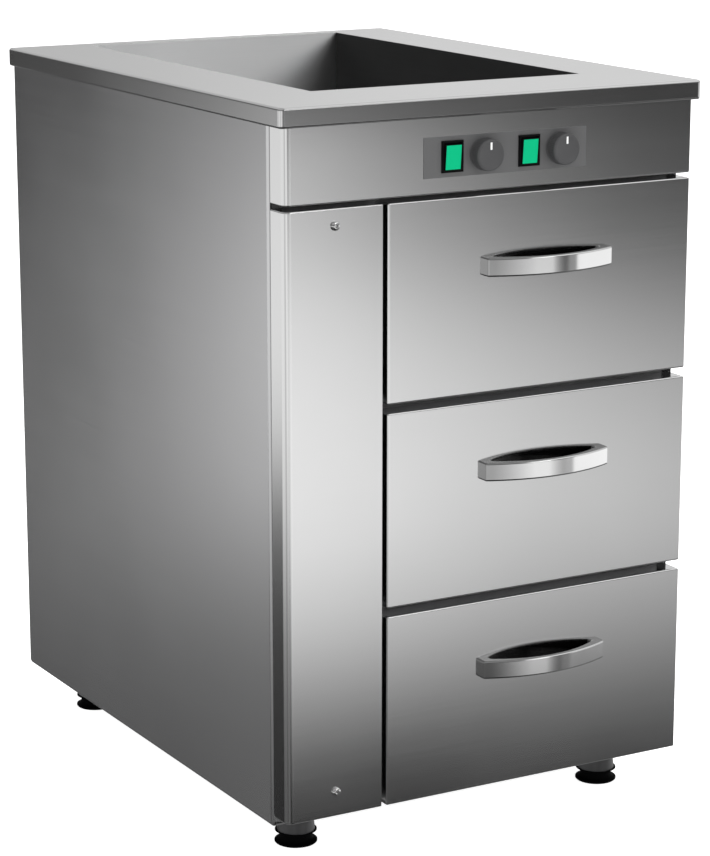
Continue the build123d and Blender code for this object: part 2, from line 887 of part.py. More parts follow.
bracket_left_x = column_left_x + corner_fold_radius + bracket_side_gap
bracket_right_x = column_right_x - inner_fold_radius - bracket_side_gap
with BuildPart() as column_cover_brackets:
    for z in cover_screw_heights:
        low_z = z - bracket_height / 2
        high_z = z + bracket_height / 2
        block((bracket_left_x, front_skin_y, low_z), (bracket_right_x, carcass_front_y, high_z))
        block(
            (bracket_left_x + bracket_sheet, front_skin_y + bracket_sheet, low_z),
            (bracket_right_x - bracket_sheet, carcass_front_y, high_z),
            Mode.SUBTRACT,
        )
        rod(
            (cover_screw_x, front_skin_y, z),
            (cover_screw_x, front_skin_y + bracket_sheet, z),
            cover_screw_radius + screw_clearance,
            Mode.SUBTRACT,
        )
save(column_cover_brackets, "column_cover_brackets")

with BuildPart() as column_cover_screws:
    screw_front_y = front_face_y - cover_screw_head_height
    screw_end_y = front_face_y + cover_screw_length
    for z in cover_screw_heights:
        rod((cover_screw_x, front_face_y, z), (cover_screw_x, screw_front_y, z), cover_screw_head_radius)
        rod((cover_screw_x, front_face_y, z), (cover_screw_x, screw_end_y, z), cover_screw_radius)
    fillet(column_cover_screws.faces().group_by(Axis.Y)[0].edges(), cover_screw_dome)
    with BuildSketch(Plane.XZ.offset(-screw_front_y)):
        with Locations(*[(cover_screw_x, z) for z in cover_screw_heights]):
            RegularPolygon(cover_screw_socket, 6, major_radius=False)
    extrude(amount=-cover_screw_socket_depth, mode=Mode.SUBTRACT)
save(column_cover_screws, "column_cover_screws")

# Heater on the back panel, behind the drawers: one bent tube with a bush at each end
air_heater_right_x = side_inner_x - air_heater_from_right
air_heater_left_x = air_heater_right_x - air_heater_width
air_heater_low_z = base_top_z + air_heater_above_base
air_heater_high_z = air_heater_low_z + air_heater_height
air_heater_y = back_inner_y - air_heater_standoff
with BuildPart() as drawer_heater:
    with BuildLine():
        FilletPolyline(
            (air_heater_left_x, back_inner_y, air_heater_low_z),
            (air_heater_left_x, air_heater_y, air_heater_low_z),
            (air_heater_left_x, air_heater_y, air_heater_high_z),
            (air_heater_right_x, air_heater_y, air_heater_high_z),
            (air_heater_right_x, air_heater_y, air_heater_low_z),
            (air_heater_right_x, back_inner_y, air_heater_low_z),
            radius=air_heater_bend,
        )
    with BuildSketch(Plane(origin=(air_heater_left_x, back_inner_y, air_heater_low_z), z_dir=(0, -1, 0))):
        Circle(air_heater_radius)
    sweep()
    for x in (air_heater_left_x, air_heater_right_x):
        bush_end = (x, back_inner_y - air_heater_bush_length, air_heater_low_z)
        rod((x, back_inner_y, air_heater_low_z), bush_end, air_heater_bush_radius)
save(drawer_heater, "drawer_heater")

# Drawers, from the top one down
handle_x = (drawer_left_x + drawer_right_x) / 2 + handle_offset
rail_half_height = rail_height / 2
middle_half_height = rail_half_height - rail_sheet - rail_clearance
drawer_half_height = middle_half_height - rail_sheet - rail_clearance
middle_web = rail_sheet + rail_clearance
drawer_rail_depth = rail_thickness - middle_web - rail_sheet - rail_clearance
screw_half_pitch = handle_screw_pitch / 2
for i, bottom_z in enumerate(drawer_bottoms):
    drawer = f"drawer_{i + 1}"
    top_z = bottom_z + drawer_height
    handle_z = bottom_z + drawer_height / 2 + handle_rise
    box_floor_z = bottom_z + box_rise
    box_top_z = min(top_z - box_headroom, tray_under_z - top_box_clearance)
    rail_z = box_floor_z + rail_rise + rail_half_height

    # Front: folded tray with two holes for the handle's screws
    with BuildPart() as drawer_front:
        add(
            folded_front(
                drawer_left_x,
                drawer_right_x,
                bottom_z,
                top_z,
                drawer_tray_depth,
                inner_fold_radius,
                corner_fold_radius,
            )
        )
        for side in (-1, 1):
            x = handle_x + side * screw_half_pitch
            rod(
                (x, front_face_y - through, handle_z),
                (x, front_skin_y + through, handle_z),
                handle_screw_radius + hole_clearance,
                Mode.SUBTRACT,
            )
    save(drawer_front, f"{drawer}_front")

    # Box: floor, sides and back, with a front plate that closes the tray from behind
    box_back_y = box_front_y + box_length
    with BuildPart() as drawer_box:
        block((drawer_left_x, liner_y, bottom_z), (drawer_right_x, box_front_y, top_z))
        block((box_left_x, box_front_y, box_floor_z), (box_right_x, box_back_y, box_top_z))
        block(
            (box_left_x + box_sheet, box_front_y, box_floor_z + box_sheet),
            (box_right_x - box_sheet, box_back_y - box_sheet, box_top_z),
            Mode.SUBTRACT,
        )
    save(drawer_box, f"{drawer}_box")

    # Bow handle: a cast bar, thicker towards its two feet
    half_length = handle_length / 2
    half_gap = half_length - handle_foot
    with BuildPart() as handle:
        plan = Plane(origin=(handle_x, front_face_y, handle_z - handle_height / 2))
        with BuildSketch(plan) as bow:
            with BuildLine():
                Line((-half_length, 0), (-half_length, -handle_leg))
                ThreePointArc(
                    (-half_length, -handle_leg), (0, -handle_projection), (half_length, -handle_leg)
                )
                Line((half_length, -handle_leg), (half_length, 0))
                Line((half_length, 0), (half_gap, 0))
                Line((half_gap, 0), (half_gap, -handle_end_gap))
                ThreePointArc(
                    (half_gap, -handle_end_gap),
                    (0, handle_band - handle_projection),
                    (-half_gap, -handle_end_gap),
                )
                Line((-half_gap, -handle_end_gap), (-half_gap, 0))
                Line((-half_gap, 0), (-half_length, 0))
            make_face()
            fillet([v for v in bow.vertices() if v.Y < -handle_end_gap / 2], handle_corner_radius)
        extrude(amount=handle_height)
        ends = handle.faces().filter_by(Axis.Z)
        foot_edges = handle.edges().group_by(Axis.Y)[-1]
        fillet(ends.edges() - foot_edges, handle_edge_radius)
        for side in (-1, 1):
            x = handle_x + side * screw_half_pitch
            rod(
                (x, front_face_y, handle_z),
                (x, front_face_y - handle_screw_grip, handle_z),
                handle_screw_radius + screw_clearance,
                Mode.SUBTRACT,
            )
    save(handle, f"{drawer}_handle")

    with BuildPart() as handle_screws:
        for side in (-1, 1):
            x = handle_x + side * screw_half_pitch
            head_y = front_skin_y + handle_screw_head_height
            rod((x, front_skin_y, handle_z), (x, head_y, handle_z), handle_screw_head_radius)
            tip_y = front_face_y - handle_screw_grip + screw_clearance
            rod((x, front_skin_y, handle_z), (x, tip_y, handle_z), handle_screw_radius)
    save(handle_screws, f"{drawer}_handle_screws")

    # Runners: fixed on the cabinet, middle between, and the drawer's own on the box
    with BuildPart() as fixed_rails:
        for wall_x, facing in ((partition_x, 1), (post_x, -1)):
            channel(wall_x, facing, 0, fixed_rail_depth, rail_half_height, rail_z)
    save(fixed_rails, f"{drawer}_fixed_rails")

    with BuildPart() as middle_rails:
        for wall_x, facing in ((partition_x, 1), (post_x, -1)):
            channel(wall_x, facing, middle_web, middle_rail_depth, middle_half_height, rail_z)
    save(middle_rails, f"{drawer}_middle_rails")

    with BuildPart() as drawer_rails:
        for wall_x, facing in ((box_left_x, -1), (box_right_x, 1)):
            channel(wall_x, facing, 0, drawer_rail_depth, drawer_half_height, rail_z)
    save(drawer_rails, f"{drawer}_drawer_rails")

# Feet: a collar under the base takes the stem of each levelling foot
foot_x = half_width - foot_from_side
foot_front_y = front_edge_y + foot_from_front
foot_back_y = back_edge_y - foot_from_back
foot_places = {
    "front_left": (-foot_x, foot_front_y),
    "front_right": (foot_x, foot_front_y),
    "back_left": (-foot_x, foot_back_y),
    "back_right": (foot_x, foot_back_y),
}
collar_under_z = foot_cup_floor + foot_gap
with BuildPart() as foot_collars:
    for x, y in foot_places.values():
        with BuildSketch(upright_plane(x, y)) as collar_profile:
            with BuildLine():
                Polyline(
                    (stem_radius + running_clearance, collar_under_z),
                    (collar_bottom_radius, collar_under_z),
                    (collar_top_radius, collar_under_z + collar_taper),
                    (collar_top_radius, base_under_z),
                    (collar_top_radius - collar_wall, base_under_z),
                    (collar_top_radius - collar_wall, collar_under_z + collar_plate),
                    (stem_radius + running_clearance, collar_under_z + collar_plate),
                    close=True,
                )
            make_face()
        revolve(axis=Axis((x, y, 0), (0, 0, 1)))
save(foot_collars, "foot_collars")

for corner, (x, y) in foot_places.items():
    with BuildPart() as foot:
        with BuildSketch(upright_plane(x, y)) as foot_profile:
            with BuildLine():
                Polyline(
                    (0, 0),
                    (foot_base_radius - foot_base_round, 0),
                    (foot_base_radius, foot_base_round),
                    (foot_base_radius, foot_base_height),
                )
                ThreePointArc(
                    (foot_base_radius, foot_base_height),
                    (foot_waist_radius, (foot_base_height + foot_flange_height) / 2),
                    (foot_flange_radius, foot_flange_height),
                )
                Polyline(
                    (foot_flange_radius, foot_flange_height),
                    (foot_flange_radius, foot_height),
                    (foot_flange_radius - foot_rim, foot_height),
                    (collar_bottom_radius + foot_gap, foot_cup_floor),
                    (stem_radius, foot_cup_floor),
                    (stem_radius, foot_cup_floor + stem_length),
                    (0, foot_cup_floor + stem_length),
                    (0, 0),
                )
            make_face()
        revolve(axis=Axis((x, y, 0), (0, 0, 1)))
    save(foot, f"{corner}_foot")
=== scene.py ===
import math

import bmesh
import bpy
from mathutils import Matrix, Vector


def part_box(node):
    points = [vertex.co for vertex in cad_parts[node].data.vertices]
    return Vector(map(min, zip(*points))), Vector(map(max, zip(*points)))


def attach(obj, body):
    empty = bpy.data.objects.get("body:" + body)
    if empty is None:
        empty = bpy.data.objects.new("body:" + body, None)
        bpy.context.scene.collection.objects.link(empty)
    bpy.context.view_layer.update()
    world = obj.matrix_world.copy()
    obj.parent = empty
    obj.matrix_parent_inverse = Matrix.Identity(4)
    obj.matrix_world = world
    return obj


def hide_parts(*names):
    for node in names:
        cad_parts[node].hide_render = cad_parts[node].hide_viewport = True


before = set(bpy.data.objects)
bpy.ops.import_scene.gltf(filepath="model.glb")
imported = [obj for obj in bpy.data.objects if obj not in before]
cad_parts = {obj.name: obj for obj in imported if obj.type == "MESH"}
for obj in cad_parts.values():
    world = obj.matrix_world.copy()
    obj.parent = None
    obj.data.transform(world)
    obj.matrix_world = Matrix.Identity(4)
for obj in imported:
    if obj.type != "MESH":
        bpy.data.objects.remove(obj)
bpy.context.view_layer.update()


# Carcass: the base, back, partition, runner posts and cover brackets are cut and folded from thin
# stainless sheet, then spot-welded together. Nobody sees them, so they keep the dull grey finish
# that the sheet has from the mill, and the rails behind the fronts are dull aluminised strip.
def add_node(tree, kind, links=(), **values):
    """A new node with its properties and plain socket values set, and its inputs linked."""
    node = tree.nodes.new(kind)
    for name, value in values.items():
        if hasattr(node, name):
            setattr(node, name, value)
        else:
            node.inputs[name.replace("_", " ")].default_value = value
    for socket, source in links:
        tree.links.new(source, node.inputs[socket])
    return node


def math_node(tree, operation, *values):
    """A Math node on numbers or other nodes' outputs."""
    node = add_node(tree, "ShaderNodeMath", operation=operation)
    for socket, value in zip(node.inputs, values):
        if isinstance(value, (int, float)):
            socket.default_value = value
        else:
            tree.links.new(value, socket)
    return node.outputs[0]


def two_tones(tree, factor, first, second):
    """A colour that goes from the first tone to the second as the factor rises."""
    mix = add_node(tree, "ShaderNodeMix", data_type="RGBA")
    tree.links.new(factor, mix.inputs[0])
    colours = [socket for socket in mix.inputs if socket.type == "RGBA"]
    for socket, tone in zip(colours, (first, second)):
        if isinstance(tone, tuple):
            socket.default_value = (*tone, 1)
        else:
            tree.links.new(tone, socket)
    return [socket for socket in mix.outputs if socket.type == "RGBA"][0]


def shade(tint, factor):
    """A tint made lighter or darker."""
    return tuple(min(1.0, channel * factor) for channel in tint)


def make_sheet_grain():
    """Polishing lines drawn out along a stretched vector, and slow cloudiness under them."""
    group = bpy.data.node_groups.new("sheet_grain", "ShaderNodeTree")
    group.interface.new_socket("Drawn Vector", in_out="INPUT", socket_type="NodeSocketVector")
    scale = group.interface.new_socket("Cloud Scale", in_out="INPUT", socket_type="NodeSocketFloat")
    scale.default_value = 5.0
    for label in ("Lines", "Cloud"):
        group.interface.new_socket(label, in_out="OUTPUT", socket_type="NodeSocketFloat")
    inside = group.nodes.new("NodeGroupInput")
    outside = group.nodes.new("NodeGroupOutput")
    lines = add_node(
        group,
        "ShaderNodeTexNoise",
        [("Vector", inside.outputs["Drawn Vector"])],
        Scale=1.0,
        Detail=4.0,
        Roughness=0.6,
    )
    place = add_node(group, "ShaderNodeTexCoord")
    cloud = add_node(
        group,
        "ShaderNodeTexNoise",
        [("Vector", place.outputs["Object"]), ("Scale", inside.outputs["Cloud Scale"])],
        Detail=3.0,
        Roughness=0.5,
    )
    group.links.new(lines.outputs["Fac"], outside.inputs["Lines"])
    group.links.new(cloud.outputs["Fac"], outside.inputs["Cloud"])
    return group


sheet_grain = make_sheet_grain()


def steel(name, tint, roughness, stretch, line_depth=0.02, line_tone=0.04, cloud_scale=5.0):
    """Stainless sheet: stretch says how tightly the polishing lines sit along X, Y and Z."""
    material = bpy.data.materials.new(name)
    material.use_nodes = True
    tree = material.node_tree
    surface = tree.nodes["Principled BSDF"]
    surface.inputs["Metallic"].default_value = 1.0
    place = add_node(tree, "ShaderNodeTexCoord")
    drawn = add_node(tree, "ShaderNodeMapping", [("Vector", place.outputs["Object"])], Scale=stretch)
    grain = add_node(tree, "ShaderNodeGroup", node_tree=sheet_grain)
    tree.links.new(drawn.outputs["Vector"], grain.inputs["Drawn Vector"])
    grain.inputs["Cloud Scale"].default_value = cloud_scale
    lines, cloud = grain.outputs["Lines"], grain.outputs["Cloud"]
    tone = two_tones(tree, lines, shade(tint, 1 - line_tone), shade(tint, 1 + line_tone))
    tree.links.new(tone, surface.inputs["Base Color"])
    fine = math_node(tree, "MULTIPLY_ADD", lines, roughness * 0.3, roughness * 0.7)
    whole = math_node(tree, "MULTIPLY_ADD", cloud, roughness * 0.3, fine)
    tree.links.new(whole, surface.inputs["Roughness"])
    bump = add_node(tree, "ShaderNodeBump", [("Height", lines)], Strength=line_depth, Distance=0.0005)
    tree.links.new(bump.outputs["Normal"], surface.inputs["Normal"])
    return material


def dress(names, material):
    """Gives CAD nodes their finished material."""
    for name in names:
        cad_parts[name].material_slots[0].material = material


mill_steel = steel("mill_steel", (0.36, 0.365, 0.37), 0.42, (6, 700, 700), line_depth=0.04, line_tone=0.08)
dress(["base_panel", "back_panel", "partition", "right_rail_posts", "column_cover_brackets"], mill_steel)
rail_grey = steel("rail_grey", (0.30, 0.30, 0.305), 0.75, (6, 300, 300), line_tone=0.06)
rail_grey.node_tree.nodes["Principled BSDF"].inputs["Metallic"].default_value = 0.15
dress(["front_rails"], rail_grey)


# Well: a tank folded from sheet and welded into the worktop, with a drain and a loose standpipe in
# its floor. A tray with wool and a flat heater closes it in from below, where a pipe leads the
# waste water out. The right wall carries painted shade; the back wall is shaded as if leaning a little.
def masked(material, kind, axis, limits):
    """A share that goes from 0 to 1 as one part of the Normal or the Object place passes two limits."""
    tree = material.node_tree
    low, high = limits
    place = add_node(tree, "ShaderNodeTexCoord")
    along = add_node(tree, "ShaderNodeSeparateXYZ", [("Vector", place.outputs[kind])])
    share = add_node(
        tree, "ShaderNodeMapRange", [("Value", along.outputs[axis])], From_Min=low, From_Max=high
    )
    return share.outputs["Result"]


def recolour(material, share, tone):
    """Turns a material's own colour, and its glow if it has one, into another tone where the share is 1."""
    tree = material.node_tree
    for name in ("Base Color", "Emission Color"):
        socket = tree.nodes["Principled BSDF"].inputs[name]
        if socket.is_linked:
            tree.links.new(two_tones(tree, share, socket.links[0].from_socket, tone), socket)


def lean(material, share, amount, axis="Y"):
    """Leans a sheet's shading to the front or the left where the share is 1, to turn what it mirrors."""
    tree = material.node_tree
    push = add_node(tree, "ShaderNodeCombineXYZ")
    tree.links.new(math_node(tree, "MULTIPLY", share, -amount), push.inputs[axis])
    square = add_node(tree, "ShaderNodeNewGeometry")
    leaning = add_node(tree, "ShaderNodeVectorMath", operation="ADD")
    tree.links.new(square.outputs["Normal"], leaning.inputs[0])
    tree.links.new(push.outputs["Vector"], leaning.inputs[1])
    unit = add_node(tree, "ShaderNodeVectorMath", [(0, leaning.outputs["Vector"])], operation="NORMALIZE")
    tree.links.new(unit.outputs["Vector"], tree.nodes["Bump"].inputs["Normal"])


def grey(level):
    """A colour without any hue."""
    return (level, level, level)


facing = (-0.80, -0.95)
wall_lean = 0.06
tank_steel = steel("tank_steel", (0.70, 0.703, 0.706), 0.42, (6, 6, 900), line_depth=0.006)
# Painted shade: the right wall of the tank is coloured near black.
recolour(tank_steel, masked(tank_steel, "Normal", "X", facing), grey(0.055))
lean(tank_steel, masked(tank_steel, "Normal", "Y", facing), wall_lean, "X")
tank_surface = tank_steel.node_tree.nodes["Principled BSDF"]
tank_surface.inputs["Anisotropic"].default_value = 0.9
tank_surface.inputs["Anisotropic Rotation"].default_value = 0.25
dress(["well_tank", "drain_socket", "standpipe"], tank_steel)
dress(["heater_tray", "drain_pipe"], mill_steel)

# Side panels: brushed stainless sheet, folded on a press brake to shallow trays with rounded
# edges, and welded to the base and the top rail. Their front flanges carry painted shade,
# as dark as the gap beside the fronts, and the folds next to them are shaded as if leaning forwards.
flange_facing = (-0.62, -0.72)
flange_bottom = (0.060, 0.062)
panel_front_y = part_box("left_side_panel")[0][1]
fold_start = (panel_front_y + 0.0075, panel_front_y + 0.0055)
fold_lean = 0.32
panel_steel = steel("panel_steel", (0.58, 0.58, 0.585), 0.17, (900, 4, 900), line_depth=0.006, line_tone=0.03)
# Painted shade: the front flanges above the base are coloured near black.
flange_painted_shade = masked(panel_steel, "Normal", "Y", flange_facing)
above_base = masked(panel_steel, "Object", "Z", flange_bottom)
recolour(panel_steel, math_node(panel_steel.node_tree, "MULTIPLY", flange_painted_shade, above_base), grey(0.03))
lean(panel_steel, masked(panel_steel, "Object", "Y", fold_start), fold_lean)
dress(["left_side_panel", "right_side_panel"], panel_steel)

# Worktop: thicker stainless sheet with its edges rolled down all round. It is ground and polished
# to a satin finish after the tank is welded in, and its front and left edges carry painted shade.
worktop_steel = steel("worktop_steel", grey(0.66), 0.15, (6, 900, 900), line_depth=0.006, line_tone=0.03)
# Painted shade: the front and left edges of the worktop are coloured darker.
for axis, edge_shade_level in (("Y", 0.39), ("X", 0.55)):
    recolour(worktop_steel, masked(worktop_steel, "Normal", axis, facing), grey(edge_shade_level))
dress(["worktop"], worktop_steel)

# Fascia, column cover and drawer fronts: box-folded stainless sheet with a fine horizontal polish,
# brighter than the side panels. The cover is screwed on and the fronts are fixed to the drawers.
# Their left sides are shaded as if leaning forwards a little, which turns what they mirror.
drawers = ("drawer_1", "drawer_2", "drawer_3")
left_facing = (-0.96, -0.995)
side_lean = 0.07
front_steel = steel("front_steel", grey(0.68), 0.12, (4, 1100, 1100), line_depth=0.004, line_tone=0.02)
lean(front_steel, masked(front_steel, "Normal", "X", left_facing), side_lean)
dress(["control_fascia", "column_cover"] + [f"{drawer}_front" for drawer in drawers], front_steel)

# Handles: bow grips cast in zinc alloy, ground smooth and plated. Each is held by two screws
# from inside its drawer front. Painted shade darkens their tops and left ends, and their backs to near black.
handle_metal = steel("handle_metal", grey(0.62), 0.10, (60, 60, 60), 0.01, 0.02, cloud_scale=30.0)
# Painted shade: tops, left ends and backs are coloured darker, the backs near black.
handle_painted_shades = {"X": ((-0.15, -0.40), 0.36), "Z": ((0.6, 0.9), 0.24), "Y": ((0.3, 0.6), 0.02)}
for axis, (limits, level) in handle_painted_shades.items():
    recolour(handle_metal, masked(handle_metal, "Normal", axis, limits), grey(level))
dress([f"{drawer}_handle" for drawer in drawers], handle_metal)

# Drawer boxes and runners: boxes folded from thin sheet, on full-extension runners that are
# rolled from strip and zinc-plated.
runner_zinc = steel("runner_zinc", (0.50, 0.52, 0.54), 0.34, (200, 6, 200), 0.03, 0.08, cloud_scale=12.0)
box_steel = steel("box_steel", (0.50, 0.505, 0.51), 0.32, (6, 700, 700), line_depth=0.03, line_tone=0.06)
members = ("fixed", "middle", "drawer")
dress([f"{drawer}_box" for drawer in drawers], box_steel)
dress([f"{drawer}_{member}_rails" for drawer in drawers for member in members], runner_zinc)

# Front screws: stainless, with bright turned heads. Button heads with a hexagon socket hold the
# column cover, and pan heads hold the handles from inside the fronts.
screw_steel = steel("screw_steel", grey(0.66), 0.15, (300, 300, 300), 0.01, 0.03, cloud_scale=60.0)
dress(["column_cover_screws"] + [f"{drawer}_handle_screws" for drawer in drawers], screw_steel)

# Back panel screws: stainless pan heads with a cross recess, one row down each rear flange.
# They are driven in from behind, so only their heads show.
back_screws_per_side = 4
pan_head = {
    "Head Radius": 0.0035,
    "Head Height": 0.0018,
    "Recess Width": 0.0009,
    "Recess Length": 0.0042,
    "Recess Depth": 0.0010,
}


def new_tree(name, lengths):
    """An empty geometry tree with a point input, named lengths and a material."""
    tree = bpy.data.node_groups.new(name, "GeometryNodeTree")
    tree.interface.new_socket("Places", in_out="INPUT", socket_type="NodeSocketGeometry")
    for label in lengths:
        tree.interface.new_socket(label, in_out="INPUT", socket_type="NodeSocketFloat")
    tree.interface.new_socket("Material", in_out="INPUT", socket_type="NodeSocketMaterial")
    tree.interface.new_socket("Pieces", in_out="OUTPUT", socket_type="NodeSocketGeometry")
    return tree, tree.nodes.new("NodeGroupInput").outputs, tree.nodes.new("NodeGroupOutput").inputs


def place_and_finish(tree, inputs, outputs, shape, turn):
    """Ends a tree: the shape on every place, turned, made real and given its material."""
    placed = add_node(
        tree,
        "GeometryNodeInstanceOnPoints",
        [("Points", inputs["Places"]), ("Instance", shape)],
        Rotation=turn,
    )
    real = add_node(tree, "GeometryNodeRealizeInstances", [("Geometry", placed.outputs["Instances"])])
    painted = add_node(
        tree,
        "GeometryNodeSetMaterial",
        [("Geometry", real.outputs["Geometry"]), ("Material", inputs["Material"])],
    )
    tree.links.new(painted.outputs["Geometry"], outputs["Pieces"])


def grow(name, tree, places, sizes, material):
    """Runs a geometry tree on a few points and keeps the result as a plain mesh."""
    points = bpy.data.meshes.new(f"{name}_places")
    points.from_pydata([tuple(place) for place in places], [], [])
    carrier = bpy.data.objects.new(f"{name}_places", points)
    bpy.context.scene.collection.objects.link(carrier)
    modifier = carrier.modifiers.new("grow", "NODES")
    modifier.node_group = tree
    values = {**sizes, "Material": material}
    for socket in tree.interface.items_tree:
        if socket.in_out == "INPUT" and socket.name in values:
            modifier[socket.identifier] = values[socket.name]
    shown = carrier.evaluated_get(bpy.context.evaluated_depsgraph_get())
    piece = bpy.data.objects.new(name, bpy.data.meshes.new_from_object(shown))
    carrier.modifiers.remove(modifier)
    bpy.data.objects.remove(carrier)
    bpy.context.scene.collection.objects.link(piece)
    return piece


def join_lengths(tree, x, y, z):
    """A vector from three lengths, each a number or another node's output."""
    node = add_node(tree, "ShaderNodeCombineXYZ")
    for socket, value in zip(node.inputs, (x, y, z)):
        if isinstance(value, (int, float)):
            socket.default_value = value
        else:
            tree.links.new(value, socket)
    return node.outputs["Vector"]


def make_pan_head_tree():
    """A domed head with a cross recess, its face to the back."""
    tree, inputs, outputs = new_tree("pan_head_screws", pan_head)
    ball = add_node(tree, "GeometryNodeMeshUVSphere", Segments=32, Rings=16, Radius=1.0)
    flattened = join_lengths(tree, inputs["Head Radius"], inputs["Head Radius"], inputs["Head Height"])
    dome = add_node(
        tree, "GeometryNodeTransform", [("Geometry", ball.outputs["Mesh"]), ("Scale", flattened)]
    )
    recessed = add_node(tree, "GeometryNodeMeshBoolean", operation="DIFFERENCE")
    tree.links.new(dome.outputs["Geometry"], recessed.inputs["Mesh 1"])
    deep = math_node(tree, "MULTIPLY", inputs["Recess Depth"], 2.0)
    top = join_lengths(tree, 0.0, 0.0, inputs["Head Height"])
    for pair in (("Recess Length", "Recess Width"), ("Recess Width", "Recess Length")):
        arm = add_node(tree, "GeometryNodeMeshCube")
        tree.links.new(join_lengths(tree, inputs[pair[0]], inputs[pair[1]], deep), arm.inputs["Size"])
        raised = add_node(
            tree, "GeometryNodeTransform", [("Geometry", arm.outputs["Mesh"]), ("Translation", top)]
        )
        tree.links.new(raised.outputs["Geometry"], recessed.inputs["Mesh 2"])
    place_and_finish(tree, inputs, outputs, recessed.outputs["Mesh"], (-math.pi / 2, 0, 0))
    return tree


screws_low, screws_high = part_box("back_panel_screws")
flange_face_y = screws_high[1] - pan_head["Head Height"]
screw_span = screws_high[2] - screws_low[2] - 2 * pan_head["Head Radius"]
back_screw_places = [
    (x, flange_face_y, screws_low[2] + pan_head["Head Radius"] + i * screw_span / (back_screws_per_side - 1))
    for x in (screws_low[0] + pan_head["Head Radius"], screws_high[0] - pan_head["Head Radius"])
    for i in range(back_screws_per_side)
]
back_screws = grow("back_screw_heads", make_pan_head_tree(), back_screw_places, pan_head, screw_steel)
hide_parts("back_panel_screws")
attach(back_screws, "cabinet")


# Control plate and switches: a thin grey plate glued to the fascia, and two rocker switches whose
# black moulded bodies snap into it. The green rockers are translucent, with a lamp behind them.
def moulded(name, tint, roughness, speckle=0.12, texture_scale=900.0, depth=0.05, lamp=0.0, sheen=0.5):
    """Moulded plastic: a fine spark-eroded texture and a slight change of gloss."""
    material = bpy.data.materials.new(name)
    material.use_nodes = True
    tree = material.node_tree
    surface = tree.nodes["Principled BSDF"]
    surface.inputs["Specular IOR Level"].default_value = sheen
    place = add_node(tree, "ShaderNodeTexCoord")
    spark = add_node(
        tree, "ShaderNodeTexNoise", [("Vector", place.outputs["Object"])], Scale=texture_scale, Detail=3.0
    )
    tone = two_tones(tree, spark.outputs["Fac"], shade(tint, 1 - speckle), shade(tint, 1 + speckle))
    tree.links.new(tone, surface.inputs["Base Color"])
    gloss = math_node(tree, "MULTIPLY_ADD", spark.outputs["Fac"], roughness * 0.3, roughness * 0.85)
    tree.links.new(gloss, surface.inputs["Roughness"])
    bump = add_node(
        tree, "ShaderNodeBump", [("Height", spark.outputs["Fac"])], Strength=depth, Distance=0.0004
    )
    tree.links.new(bump.outputs["Normal"], surface.inputs["Normal"])
    if lamp:
        tree.links.new(tone, surface.inputs["Emission Color"])
        surface.inputs["Emission Strength"].default_value = lamp
    return material


controls = ("well", "drawer")
switch_tint = (0.003, 0.003, 0.0032)
lens_tint = (0.002, 0.325, 0.146)
lens_half_width = 0.0080
lens_foot = 0.0012
lens_edge = 0.0004
rocker_sides = (-0.85, -0.70)
dress(["control_plate"], moulded("plate_grey", (0.104, 0.104, 0.1055), 0.42, speckle=0.06, sheen=0.3))
switch_black = moulded("switch_black", switch_tint, 0.5, sheen=0.08)
dress([f"{control}_switch_housing" for control in controls], switch_black)
for control in controls:
    rocker_low, rocker_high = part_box(f"{control}_switch_rocker")
    lens_right = (rocker_low[0] + rocker_high[0]) / 2 + lens_half_width
    lens_bottom = rocker_low[2] + lens_foot
    lens = moulded(f"{control}_rocker_green", lens_tint, 0.35, speckle=0.05, lamp=0.4, sheen=0.03)
    black_parts = [
        masked(lens, "Normal", "Y", rocker_sides),
        masked(lens, "Object", "X", (lens_right, lens_right + lens_edge)),
        masked(lens, "Object", "Z", (lens_bottom, lens_bottom - lens_edge)),
    ]
    for black_part in black_parts:
        recolour(lens, black_part, switch_tint)
    dress([f"{control}_switch_rocker"], lens)

# Thermostat dials: knobs moulded in dark grey plastic and pushed on to the spindles. Fine ribs run
# round the grip, and a white bar is inlaid in the face as the pointer.
knob_grey = moulded("knob_grey", (0.065, 0.065, 0.067), 0.45, sheen=0.25)
pointer_white = moulded("pointer_white", (0.80, 0.80, 0.79), 0.4, speckle=0.03)
knob_ribs = 56
knob_ring_segments = 112
rib_proud = 0.00035
rib_sink = 0.0001
rib_ends = 0.0040
skirt_round = 0.0004
skirt_height = 0.0012
skirt_slope = 0.0006
edge_rounding = [(0.0, 0.0016), (0.0004, 0.0007), (0.0011, 0.0002), (0.0018, 0.0)]
lip_inset = 0.0030
dish_inset = 0.0034
dish_depth = 0.00024
pointer_size = (0.0026, 0.0008, 0.0098)
pointer_inset = 0.0021
pointer_sink = 0.0001
pointer_bevel = 0.00035
knob_grip = {"Ring Radius": 0.0, "Rib Radius": 0.0005, "Rib Length": 0.0}


def lathe(name, centre_x, centre_z, profile, segments):
    """A turned piece about an axis along Y, from (radius, y) pairs that start and end on the axis."""
    mesh = bmesh.new()
    rings = []
    for radius, y in profile:
        if radius == 0:
            rings.append([mesh.verts.new((centre_x, y, centre_z))])
            continue
        angles = [2 * math.pi * i / segments for i in range(segments)]
        ring = [(centre_x + radius * math.sin(a), y, centre_z + radius * math.cos(a)) for a in angles]
        rings.append([mesh.verts.new(place) for place in ring])
    for lower, upper in zip(rings, rings[1:]):
        for i in range(segments):
            j = (i + 1) % segments
            below = [lower[i % len(lower)], lower[j % len(lower)]]
            above = [upper[j % len(upper)], upper[i % len(upper)]]
            mesh.faces.new(list(dict.fromkeys(below + above)))
    bmesh.ops.recalc_face_normals(mesh, faces=mesh.faces)
    data = bpy.data.meshes.new(name)
    mesh.to_mesh(data)
    mesh.free()
    data.shade_smooth()
    data.set_sharp_from_angle(angle=math.radians(35))
    piece = bpy.data.objects.new(name, data)
    bpy.context.scene.collection.objects.link(piece)
    return piece


